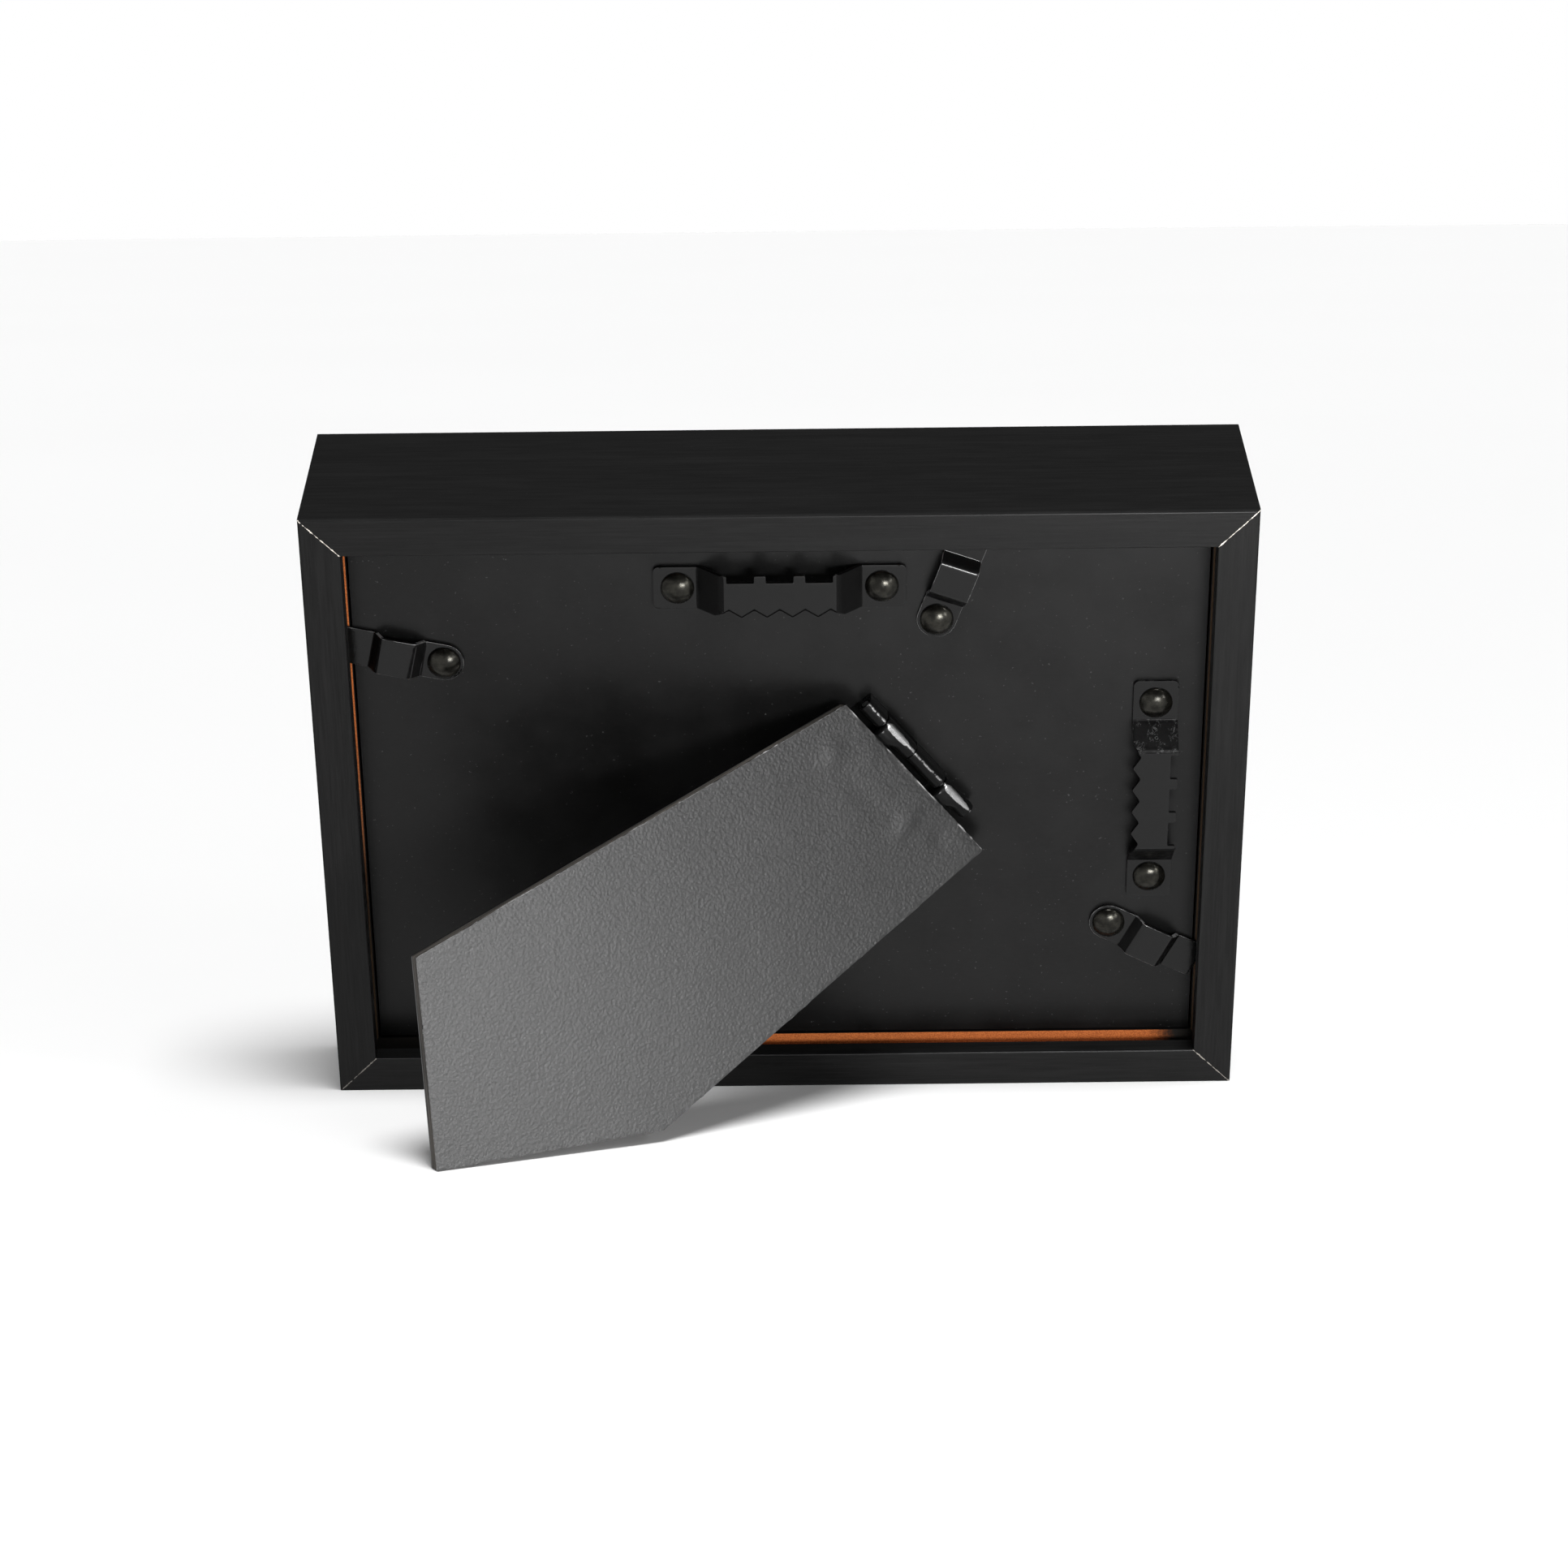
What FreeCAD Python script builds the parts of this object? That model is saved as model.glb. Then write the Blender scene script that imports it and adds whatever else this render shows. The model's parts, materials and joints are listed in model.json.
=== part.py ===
"""Deep box photo frame in black wood, standing on its folded-out easel leg.

Everything is modelled flat first, in the frame's own directions, seen from behind:
    u  to the right,  v  up along the frame,  w  out of the rear face, towards the viewer.
The origin there is the centre of the rear face. stand_up() then leans the whole frame back
until its rear bottom edge and the foot of the leg touch the floor, with +Z up, the picture
side towards -Y and the origin under the middle of the object. All sizes are in millimetres.
"""

import math
import os

import FreeCAD, Part

# ---- driving dimensions ------------------------------------------------------------------
FRAME_W = 171.0            # outside, along u
FRAME_H = 121.0            # outside, along v
FRAME_D = 38.0             # front to back
RAIL_T = 7.25              # rail width at the rear face
LIP_W = 4.75               # how far the front lip stands in past the rear inner wall
LIP_T = 4.0                # thickness of that lip
EDGE_R = 0.5               # rounding of the rail's long edges

BOARD_DEPTH = 7.7          # the backboard lies this far below the rear face
GROOVE_TOP = 3.7           # the turn-button groove starts this far below the rear face
GROOVE_IN = 3.5            # and is cut this deep into the rail
BOARD_T = 3.0              # backboard with its paper
FACING_T = 0.25            # black paper on the backboard
BOARD_GAP = 0.4            # play round the backboard, pane and spacers

PANE_T = 1.5
SPACER_T = 3.0
PRINT_W = 152.0            # a 10 x 15 cm print
PRINT_H = 102.0
PRINT_T = 0.3

SHANK_R = 1.5              # rivets through the backboard
DOME_R = 3.05
DOME_H = 1.6
DOME_RIM = 0.25
TAIL_R = 2.5
TAIL_T = 0.6

HANGER_L = 45.8            # sawtooth hanger, end to end
HANGER_W = 8.3
HANGER_T = 0.8
HANGER_PAD = 8.2           # flat pad at each end
HANGER_RUN = 4.3           # length of each sloping riser
HANGER_LIFT = 4.2          # raised bar above the pads
HANGER_RIVETS = 37.0       # rivet to rivet
HANGER_BEND_R = 1.0
HANGER_CORNER_R = 1.0
TEETH = 5
TOOTH_PITCH = 4.6
TOOTH_DEPTH = 1.5
TOOTH_TIP_R = 0.35
TOOTH_ROOT_R = 0.5
NOTCH_W = 5.0
NOTCH_GAP = 2.1
NOTCH_DEPTH = 1.4
NOTCH_CORNER_R = 0.25

BUTTON_T = 0.7
BUTTON_W = 7.2
BUTTON_TIP = 19.2          # rivet centre to tip
BUTTON_LIFT = 2.2          # height of the finger hump
BUTTON_FOLDS = (4.0, 5.9, 11.8, 13.2)   # rivet centre to each of its four folds
BUTTON_BEND_R = 0.9
BUTTON_CORNER_R = 0.6
PLAY = 0.05                # running play, radial and above and below the turn buttons

HINGE_U = 24.85            # middle of the leg's hinge axis
HINGE_V = 8.4
HINGE_ANGLE = -50.5        # direction of the axis in the u-v plane, degrees from +u
HINGE_LIFT = 2.5           # axis height above the backboard
HINGE_L = 29.6
KNUCKLE_R = 1.45           # board-leaf knuckles
TAB_R = 1.75               # leg-leaf knuckles
PIN_R = 0.7
LEAF_T = 0.5
LEAF_IN = 11.0             # how far each leaf reaches away from the axis
LEAF_RIVET_R = 1.2
NECK_W = 2.4               # neck from the leg's leaf out to each of its knuckles
BOARD_KNUCKLES = ((0.0, 0.165), (0.455, 0.73))   # as fractions of the hinge's length
LEG_KNUCKLES = ((0.175, 0.445), (0.74, 1.0))

LEG_T = 2.7
LEG_RISE = 0.3             # the leg's outer face stands this far outside the hinge axis
LEG_PAPER = 0.35
LEG_EDGE = 2.9             # hinge axis to the leg's top edge
LEG_ENDS = (17.6, -22.5)   # ends of that top edge, along the axis
LEG_BASE = (-33.0, -51.5)  # the leg's three outer corners when it is folded flat, in u and v
LEG_FOOT = (-76.8, -50.7)
LEG_SIDE = (-76.3, -12.4)
LEG_CORNER_R = 0.3
LEG_OPEN = 34.0            # opening angle at the hinge's stop, degrees

HANGERS = {
    "hanger_landscape": (0.0, 43.0, 0.0),
    "hanger_portrait": (69.0, 0.0, -90.0),
}
BUTTONS = {
    "turn_button_left": (-61.5, 28.3, 167.6),
    "turn_button_top": (28.5, 36.1, 70.0),
    "turn_button_right": (61.7, -28.6, -27.5),
    "turn_button_bottom": (-28.5, -36.1, 250.0),
}

# ---- values that follow from them --------------------------------------------------------
OPENING_W = FRAME_W - 2 * RAIL_T
OPENING_H = FRAME_H - 2 * RAIL_T
BOARD_Z = -BOARD_DEPTH
PRINT_Z = BOARD_Z - BOARD_T
SPACER_Z = PRINT_Z - PRINT_T
REBATE_Z = -FRAME_D + LIP_T
PANE_Z = REBATE_Z + PANE_T
AXIS_Z = BOARD_Z + HINGE_LIFT
U_AXIS = FreeCAD.Vector(1, 0, 0)
W_AXIS = FreeCAD.Vector(0, 0, 1)


# ---- drawing helpers ---------------------------------------------------------------------
def rounded_wire(points, radii):
    """Closed outline in the XY plane whose corners are rounded by tangent arcs."""
    corners = [FreeCAD.Vector(x, y, 0) for x, y in points]
    count = len(corners)
    starts, ends, mids = [], [], []
    for i, corner in enumerate(corners):
        back = (corners[i - 1] - corner).normalize()
        ahead = (corners[(i + 1) % count] - corner).normalize()
        half = back.getAngle(ahead) / 2
        reach = radii[i] / math.tan(half)
        starts.append(corner + back * reach)
        ends.append(corner + ahead * reach)
        middle = (back + ahead).normalize()
        mids.append(corner + middle * (radii[i] / math.sin(half) - radii[i]))
    edges = []
    for i in range(count):
        if radii[i] > 0:
            edges.append(Part.Arc(starts[i], mids[i], ends[i]).toShape())
        following = starts[(i + 1) % count]
        if ends[i].distanceToPoint(following) > 1e-6:
            edges.append(Part.LineSegment(ends[i], following).toShape())
    return Part.Wire(edges)


def prism(points, radii, low, high):
    """The outline above, made solid between two heights."""
    if not isinstance(radii, (list, tuple)):
        radii = [radii] * len(points)
    solid = Part.Face(rounded_wire(points, radii)).extrude(FreeCAD.Vector(0, 0, high - low))
    solid.translate(FreeCAD.Vector(0, 0, low))
    return solid


def rectangle(x0, y0, x1, y1):
    return [(x0, y0), (x1, y0), (x1, y1), (x0, y1)]


def slab(x0, y0, x1, y1, low, high):
    return prism(rectangle(x0, y0, x1, y1), 0, low, high)


def cylinder(radius, low, high, x=0.0, y=0.0):
    return Part.makeCylinder(radius, high - low, FreeCAD.Vector(x, y, low), W_AXIS)


def along_x(solid):
    """Turn a solid drawn in XY so that its X, Y and Z directions become Y, Z and X."""
    turned = solid.copy()
    turned.rotate(FreeCAD.Vector(), FreeCAD.Vector(1, 1, 1), 120)
    return turned


def on_board(solid, u, v, angle):
    """Set a solid down on the backboard, turned about w."""
    placed = solid.copy()
    placed.Placement = FreeCAD.Placement(
        FreeCAD.Vector(u, v, BOARD_Z), FreeCAD.Rotation(W_AXIS, angle)
    ).multiply(solid.Placement)
    return placed


def bent_strip(path, thickness, width, bend_r):
    """Sheet of even thickness that follows a path in x and z, centred across y."""
    nodes = [FreeCAD.Vector(x, z, 0) for x, z in path]
    runs = [(b - a).normalize() for a, b in zip(nodes, nodes[1:])]
    left, right, radii = [], [], []
    for i, node in enumerate(nodes):
        before = runs[max(i - 1, 0)]
        after = runs[min(i, len(runs) - 1)]
        normal = FreeCAD.Vector(-(before + after).y, (before + after).x, 0).normalize()
        step = thickness / 2 / normal.dot(FreeCAD.Vector(-before.y, before.x, 0))
        left.append(node + normal * step)
        right.append(node - normal * step)
        turn = before.cross(after).z
        radii.append(0 if abs(turn) < 1e-6 else math.copysign(1, turn))
    outline = [(p.x, p.y) for p in right] + [(p.x, p.y) for p in reversed(left)]
    outer = bend_r + thickness / 2
    inner = bend_r - thickness / 2
    right_r = [0 if r == 0 else (outer if r > 0 else inner) for r in radii]
    left_r = [0 if r == 0 else (inner if r > 0 else outer) for r in radii]
    sheet = prism(outline, right_r + left_r[::-1], -width / 2, width / 2)
    sheet.rotate(FreeCAD.Vector(), U_AXIS, 90)
    return sheet


# ---- the wooden frame --------------------------------------------------------------------
def rail(length, half_span, turn):
    """One mitred rail: lip in front, rebate behind it, and the groove near the rear face."""
    profile = [
        (half_span, 0),
        (half_span, -FRAME_D),
        (half_span - RAIL_T - LIP_W, -FRAME_D),
        (half_span - RAIL_T - LIP_W, REBATE_Z),
        (half_span - RAIL_T, REBATE_Z),
        (half_span - RAIL_T, BOARD_Z),
        (half_span - RAIL_T + GROOVE_IN, BOARD_Z),
        (half_span - RAIL_T + GROOVE_IN, -GROOVE_TOP),
        (half_span - RAIL_T, -GROOVE_TOP),
        (half_span - RAIL_T, 0),
    ]
    radii = [EDGE_R, EDGE_R, EDGE_R, 0, 0, 0, 0, 0, 0, EDGE_R / 2]
    bar = along_x(prism(profile, radii, -length / 2, length / 2))
    reach = RAIL_T + LIP_W + 1.0
    mitre = prism(
        [
            (-length / 2, half_span),
            (length / 2, half_span),
            (length / 2 - reach, half_span - reach),
            (-length / 2 + reach, half_span - reach),
        ],
        0,
        -FRAME_D,
        0,
    )
    piece = bar.common(mitre)
    piece.rotate(FreeCAD.Vector(), W_AXIS, turn)
    return piece


def rails():
    return {
        "rail_top": rail(FRAME_W, FRAME_H / 2, 0),
        "rail_left": rail(FRAME_H, FRAME_W / 2, 90),
        "rail_bottom": rail(FRAME_W, FRAME_H / 2, 180),
        "rail_right": rail(FRAME_H, FRAME_W / 2, 270),
    }


# ---- what the frame holds ----------------------------------------------------------------
def centred_sheet(width, height, low, high, corner_r=0.0):
    return prism(rectangle(-width / 2, -height / 2, width / 2, height / 2), corner_r, low, high)


def glazing_pane():
    return centred_sheet(
        OPENING_W - 2 * BOARD_GAP, OPENING_H - 2 * BOARD_GAP, REBATE_Z, PANE_Z
    )


def spacers():
    """Four strips on edge that keep the print away from the pane."""
    half_w = OPENING_W / 2 - BOARD_GAP
    half_h = OPENING_H / 2 - BOARD_GAP
    found = {}
    for name, side in (("spacer_top", 1), ("spacer_bottom", -1)):
        y0, y1 = sorted((side * half_h, side * (half_h - SPACER_T)))
        found[name] = slab(-half_w, y0, half_w, y1, PANE_Z, SPACER_Z)
    for name, side in (("spacer_left", -1), ("spacer_right", 1)):
        x0, x1 = sorted((side * half_w, side * (half_w - SPACER_T)))
        found[name] = slab(x0, SPACER_T - half_h, x1, half_h - SPACER_T, PANE_Z, SPACER_Z)
    return found


def rivet_places():
    """Where the rivets of the hangers and of the turn buttons go through the backboard."""
    hanger_rivets = []
    for u, v, angle in HANGERS.values():
        for side in (-1, 1):
            reach = side * HANGER_RIVETS / 2
            hanger_rivets.append(
                (u + reach * math.cos(math.radians(angle)), v + reach * math.sin(math.radians(angle)))
            )
    button_rivets = [(u, v) for u, v, _ in BUTTONS.values()]
    return hanger_rivets, button_rivets


def dome_rivet():
    """Domed head, shank through the board, and a tail set flush into its front."""
    crown = math.hypot(DOME_R, DOME_H - DOME_RIM) ** 2 / (2 * (DOME_H - DOME_RIM))
    base = HANGER_T + DOME_RIM
    rim = FreeCAD.Vector(DOME_R, 0, base)
    top = FreeCAD.Vector(0, 0, HANGER_T + DOME_H)
    half = math.asin(DOME_R / crown) / 2
    middle = FreeCAD.Vector(
        crown * math.sin(half), 0, HANGER_T + DOME_H - crown * (1 - math.cos(half))
    )
    corners = [
        top,
        FreeCAD.Vector(0, 0, -BOARD_T),
        FreeCAD.Vector(TAIL_R, 0, -BOARD_T),
        FreeCAD.Vector(TAIL_R, 0, TAIL_T - BOARD_T),
        FreeCAD.Vector(SHANK_R, 0, TAIL_T - BOARD_T),
        FreeCAD.Vector(SHANK_R, 0, HANGER_T),
        FreeCAD.Vector(DOME_R, 0, HANGER_T),
        rim,
    ]
    edges = [Part.LineSegment(a, b).toShape() for a, b in zip(corners, corners[1:])]
    edges.append(Part.Arc(rim, middle, top).toShape())
    return Part.Face(Part.Wire(edges)).revolve(FreeCAD.Vector(), W_AXIS, 360)


def leaf_rivet_places():
    """Rivet centres in each hinge leaf, in the hinge's own x and y."""
    return [(x, 0.6 * LEAF_IN) for x in (-0.25 * HINGE_L, 0.25 * HINGE_L)]


def backboard():
    """Fibreboard core and its black paper, drilled for every rivet."""
    width = OPENING_W - 2 * BOARD_GAP
    height = OPENING_H - 2 * BOARD_GAP
    core = centred_sheet(width, height, PRINT_Z, BOARD_Z - FACING_T)
    facing = centred_sheet(width, height, BOARD_Z - FACING_T, BOARD_Z)
    cuts = []
    for u, v in sum(rivet_places(), []):
        cuts.append(cylinder(SHANK_R, PRINT_Z, BOARD_Z, u, v))
        cuts.append(cylinder(TAIL_R, PRINT_Z, PRINT_Z + TAIL_T, u, v))
    recess = slab(*board_leaf_plan(), -LEAF_T, 0)
    cuts.append(at_hinge(recess, 0, -HINGE_LIFT))
    tool = Part.makeCompound(cuts + board_leaf_rivets())
    return {"backboard": core.cut(tool), "backboard_facing": facing.cut(tool)}


# ---- sawtooth hangers --------------------------------------------------------------------
def hanger_plan():
    """Outline seen from behind: teeth along one long side, three notches along the other."""
    half_l = HANGER_L / 2
    half_w = HANGER_W / 2
    points = [(-half_l, -half_w)]
    radii = [HANGER_CORNER_R]
    for i in range(TEETH):
        valley = (i - (TEETH - 1) / 2) * TOOTH_PITCH
        points += [(valley - TOOTH_PITCH / 2, -half_w), (valley, TOOTH_DEPTH - half_w)]
        radii += [TOOTH_TIP_R, TOOTH_ROOT_R]
    points += [(TEETH / 2 * TOOTH_PITCH, -half_w), (half_l, -half_w), (half_l, half_w)]
    radii += [TOOTH_TIP_R, HANGER_CORNER_R, HANGER_CORNER_R]
    for i in (1, 0, -1):
        centre = i * (NOTCH_W + NOTCH_GAP)
        for x, y in (
            (centre + NOTCH_W / 2, half_w),
            (centre + NOTCH_W / 2, half_w - NOTCH_DEPTH),
            (centre - NOTCH_W / 2, half_w - NOTCH_DEPTH),
            (centre - NOTCH_W / 2, half_w),
        ):
            points.append((x, y))
            radii.append(NOTCH_CORNER_R)
    points.append((-half_l, half_w))
    radii.append(HANGER_CORNER_R)
    return points, radii


def hanger():
    """Pressed strip: a riveted pad at each end and a raised, toothed bar between them."""
    low = HANGER_T / 2
    high = low + HANGER_LIFT
    pad_x = HANGER_L / 2 - HANGER_PAD
    bar_x = pad_x - HANGER_RUN
    path = [
        (-HANGER_L / 2, low),
        (-pad_x, low),
        (-bar_x, high),
        (bar_x, high),
        (pad_x, low),
        (HANGER_L / 2, low),
    ]
    strip = bent_strip(path, HANGER_T, HANGER_W + 2.0, HANGER_BEND_R)
    points, radii = hanger_plan()
    piece = strip.common(prism(points, radii, -1.0, high + HANGER_T))
    for side in (-1, 1):
        piece = piece.cut(cylinder(SHANK_R, -1.0, high, side * HANGER_RIVETS / 2, 0))
    return piece


# ---- turn buttons ------------------------------------------------------------------------
def turn_button():
    """Pressed strip that turns about its rivet: round pad, finger hump, flat tip."""
    low = PLAY + BUTTON_T / 2
    high = low + BUTTON_LIFT
    half_w = BUTTON_W / 2
    up_start, up_end, down_start, down_end = BUTTON_FOLDS
    path = [
        (-half_w - 1.0, low),
        (up_start, low),
        (up_end, high),
        (down_start, high),
        (down_end, low),
        (BUTTON_TIP + 1.0, low),
    ]
    strip = bent_strip(path, BUTTON_T, BUTTON_W + 2.0, BUTTON_BEND_R)
    plan = prism(
        rectangle(-half_w, -half_w, BUTTON_TIP, half_w),
        [half_w - 0.01, BUTTON_CORNER_R, BUTTON_CORNER_R, half_w - 0.01],
        -1.0,
        high + BUTTON_T,
    )
    return strip.common(plan).cut(cylinder(SHANK_R + PLAY, -1.0, high))


# ---- easel hinge -------------------------------------------------------------------------
# In the hinge's own directions x runs along the axis towards its upper end, y runs from the
# axis down the leg and z points out of the leg's outer face.
def hinge_placement(opening, lift=0.0):
    flat = FreeCAD.Rotation(W_AXIS, 180 + HINGE_ANGLE)
    swing = FreeCAD.Rotation(U_AXIS, opening)
    return FreeCAD.Placement(
        FreeCAD.Vector(HINGE_U, HINGE_V, AXIS_Z + lift), flat.multiply(swing)
    )


def at_hinge(solid, opening, lift=0.0):
    placed = solid.copy()
    placed.Placement = hinge_placement(opening, lift).multiply(solid.Placement)
    return placed


def knuckle(start, end, radius, bore):
    """Tube along the hinge axis between two fractions of the hinge's length."""
    x0 = HINGE_L * (0.5 - end)
    length = HINGE_L * (end - start)
    base = FreeCAD.Vector(x0, 0, 0)
    outer = Part.makeCylinder(radius, length, base, U_AXIS)
    return outer.cut(Part.makeCylinder(bore, length, base, U_AXIS))


def board_leaf_plan():
    return (-0.23 * HINGE_L, -KNUCKLE_R, HINGE_L / 2, LEAF_IN)


def board_leaf():
    """Flange let in flush with the backboard, with a web up to each of its knuckles."""
    flange_top = -HINGE_LIFT
    leaf = slab(*board_leaf_plan(), flange_top - LEAF_T, flange_top)
    for start, end in BOARD_KNUCKLES:
        x0, x1 = HINGE_L * (0.5 - end), HINGE_L * (0.5 - start)
        web = slab(x0, -KNUCKLE_R, x1, LEAF_T - KNUCKLE_R, flange_top, 0)
        web = web.cut(Part.makeCylinder(PIN_R, x1 - x0, FreeCAD.Vector(x0, 0, 0), U_AXIS))
        leaf = leaf.fuse([web, knuckle(start, end, KNUCKLE_R, PIN_R)])
    for x, y in leaf_rivet_places():
        leaf = leaf.cut(cylinder(LEAF_RIVET_R, flange_top - LEAF_T, flange_top, x, y))
    return leaf.removeSplitter()


def leg_leaf():
    """Flange under the leg's outer paper, with a narrow neck out to each of its knuckles."""
    top = LEG_RISE - LEG_PAPER
    leaf = slab(*leg_leaf_plan(), top - LEAF_T, top)
    for start, end in LEG_KNUCKLES:
        x1 = HINGE_L * (0.5 - start)
        neck = slab(x1 - NECK_W, (TAB_R + PIN_R) / 2, x1, LEG_EDGE + 1.0, top - LEAF_T, top)
        leaf = leaf.fuse([neck, knuckle(start, end, TAB_R, PIN_R + PLAY)])
    for x, y in leaf_rivet_places():
        leaf = leaf.cut(cylinder(LEAF_RIVET_R, top - LEAF_T, top, x, y))
    return leaf.removeSplitter()


def leg_leaf_plan():
    return (-0.45 * HINGE_L, LEG_EDGE + 0.5, 0.45 * HINGE_L, LEAF_IN)


def leaf_rivet(x, y, low, high):
    """Small flush rivet: a straight shank with a wider tail at its lower end."""
    shank = cylinder(LEAF_RIVET_R, low, high, x, y)
    return shank.fuse(cylinder(1.6 * LEAF_RIVET_R, low, low + TAIL_T, x, y))


def board_leaf_rivets():
    return [
        at_hinge(leaf_rivet(x, y, -BOARD_T, 0), 0, -HINGE_LIFT) for x, y in leaf_rivet_places()
    ]


def hinge():
    pin = Part.makeCylinder(PIN_R, HINGE_L, FreeCAD.Vector(-HINGE_L / 2, 0, 0), U_AXIS)
    return {
        "hinge_board_leaf": at_hinge(board_leaf(), 0),
        "hinge_leg_leaf": at_hinge(leg_leaf(), LEG_OPEN),
        "hinge_pin": at_hinge(pin, 0),
        "hinge_board_rivets": Part.makeCompound(board_leaf_rivets()),
        "hinge_leg_rivets": at_hinge(Part.makeCompound(leg_rivets()), LEG_OPEN),
    }


# ---- easel leg ---------------------------------------------------------------------------
def leg_outline():
    """Five corners: the hinge edge, two cut sides, and the two edges the frame stands on."""
    angle = math.radians(HINGE_ANGLE)
    corners = [(x, LEG_EDGE) for x in LEG_ENDS]
    for u, v in (LEG_BASE, LEG_FOOT, LEG_SIDE):
        du, dv = u - HINGE_U, v - HINGE_V
        x = -(du * math.cos(angle) + dv * math.sin(angle))
        y = du * math.sin(angle) - dv * math.cos(angle)
        corners.append((x, y))
    return corners


def leg_rivets():
    top = LEG_RISE - LEG_PAPER
    bottom = LEG_RISE - LEG_T + LEG_PAPER
    return [leaf_rivet(x, y, bottom, top) for x, y in leaf_rivet_places()]


def leg():
    """Board core between a textured outer paper and a plain inner one."""
    outer = LEG_RISE
    inner = LEG_RISE - LEG_T
    layers = {
        "leg_outer_paper": (outer - LEG_PAPER, outer),
        "leg_core": (inner + LEG_PAPER, outer - LEG_PAPER),
        "leg_inner_paper": (inner, inner + LEG_PAPER),
    }
    found = {}
    for name, (low, high) in layers.items():
        found[name] = prism(leg_outline(), LEG_CORNER_R, low, high)
    top = outer - LEG_PAPER
    x0, _, x1, y1 = leg_leaf_plan()
    pocket = slab(x0, LEG_EDGE + 0.5, x1, y1, top - LEAF_T, top)
    slots = [pocket] + leg_rivets()
    for start, _ in LEG_KNUCKLES:
        x = HINGE_L * (0.5 - start)
        slots.append(slab(x - NECK_W, LEG_EDGE - 1.0, x, LEG_EDGE + 1.0, top - LEAF_T, top))
    found["leg_core"] = found["leg_core"].cut(Part.makeCompound(slots))
    return {name: at_hinge(solid, LEG_OPEN) for name, solid in found.items()}


# ---- standing up -------------------------------------------------------------------------
def lean_angle():
    """Lean at which the rounded rear bottom edge and the leg's foot touch one floor."""
    foot_x, foot_y = leg_outline()[3]
    inner_foot = hinge_placement(LEG_OPEN).multVec(
        FreeCAD.Vector(foot_x, foot_y, LEG_RISE - LEG_T)
    )
    rise = inner_foot.y + FRAME_H / 2 - EDGE_R
    run = inner_foot.z + EDGE_R
    return math.degrees(math.atan2(rise, run) + math.asin(EDGE_R / math.hypot(rise, run)))


def upright():
    """Rotation that takes u, v, w to -X, leaning Z and leaning Y."""
    face_up = FreeCAD.Rotation(U_AXIS, 90)
    turn_round = FreeCAD.Rotation(W_AXIS, 180)
    lean = FreeCAD.Rotation(U_AXIS, -lean_angle())
    return lean.multiply(turn_round).multiply(face_up)


def stand_up(pieces):
    """Lean the frame back and bring the middle of its footprint to the origin."""
    whole = Part.makeCompound(list(pieces.values()))
    whole.Placement = FreeCAD.Placement(FreeCAD.Vector(), upright())
    box = whole.optimalBoundingBox(True, False)
    shift = FreeCAD.Vector(-box.Center.x, -box.Center.y, -box.ZMin)
    stance = FreeCAD.Placement(shift, upright())
    standing = {}
    for name, shape in pieces.items():
        moved = shape.copy()
        moved.Placement = stance.multiply(shape.Placement)
        standing[name] = moved
    return standing, stance


def flat_pieces():
    """Every node, lying flat in u, v, w."""
    pieces = {}
    pieces.update(rails())
    pieces["glazing_pane"] = glazing_pane()
    pieces.update(spacers())
    pieces["photo_print"] = centred_sheet(PRINT_W, PRINT_H, SPACER_Z, PRINT_Z)
    pieces.update(backboard())
    for name, (u, v, angle) in HANGERS.items():
        pieces[name] = on_board(hanger(), u, v, angle)
    hanger_rivets, button_rivets = rivet_places()
    pieces["hanger_rivets"] = Part.makeCompound(
        [on_board(dome_rivet(), u, v, 0) for u, v in hanger_rivets]
    )
    pieces["turn_button_rivets"] = Part.makeCompound(
        [on_board(dome_rivet(), u, v, 0) for u, v in button_rivets]
    )
    for name, (u, v, angle) in BUTTONS.items():
        pieces[name] = on_board(turn_button(), u, v, angle)
    pieces.update(hinge())
    pieces.update(leg())
    return pieces


os.makedirs("parts", exist_ok=True)
NODES, STANCE = stand_up(flat_pieces())
for node, shape in NODES.items():
    shape.exportStep(f"parts/{node}.step")
print(f"{len(NODES)} nodes, leaning back {lean_angle():.2f} degrees")
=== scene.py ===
import json
import math

import bpy
from mathutils import Matrix, Vector, geometry, kdtree, noise


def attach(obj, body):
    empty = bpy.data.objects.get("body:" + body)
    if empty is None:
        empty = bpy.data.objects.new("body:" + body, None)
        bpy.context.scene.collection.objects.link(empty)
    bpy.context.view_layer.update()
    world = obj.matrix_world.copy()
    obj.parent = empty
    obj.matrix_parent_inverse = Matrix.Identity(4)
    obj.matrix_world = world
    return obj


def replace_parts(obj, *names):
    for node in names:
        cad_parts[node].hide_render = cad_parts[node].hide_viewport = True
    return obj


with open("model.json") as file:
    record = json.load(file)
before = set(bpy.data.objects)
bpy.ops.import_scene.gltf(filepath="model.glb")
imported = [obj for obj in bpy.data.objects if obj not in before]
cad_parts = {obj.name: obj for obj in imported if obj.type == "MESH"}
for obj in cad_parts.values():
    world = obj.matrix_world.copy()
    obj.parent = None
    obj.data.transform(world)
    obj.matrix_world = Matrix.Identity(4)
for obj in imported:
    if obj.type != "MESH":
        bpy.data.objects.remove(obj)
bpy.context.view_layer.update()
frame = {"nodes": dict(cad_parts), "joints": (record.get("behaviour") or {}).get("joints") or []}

# ---- sizes, in millimetres ---------------------------------------------------------------
MM = 0.001
FRAME_W = 171.0
FRAME_H = 121.0
RAIL_T = 7.25
BOARD_DEPTH = 7.7
GROOVE_TOP = 3.7
BOARD_T = 3.0

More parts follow.
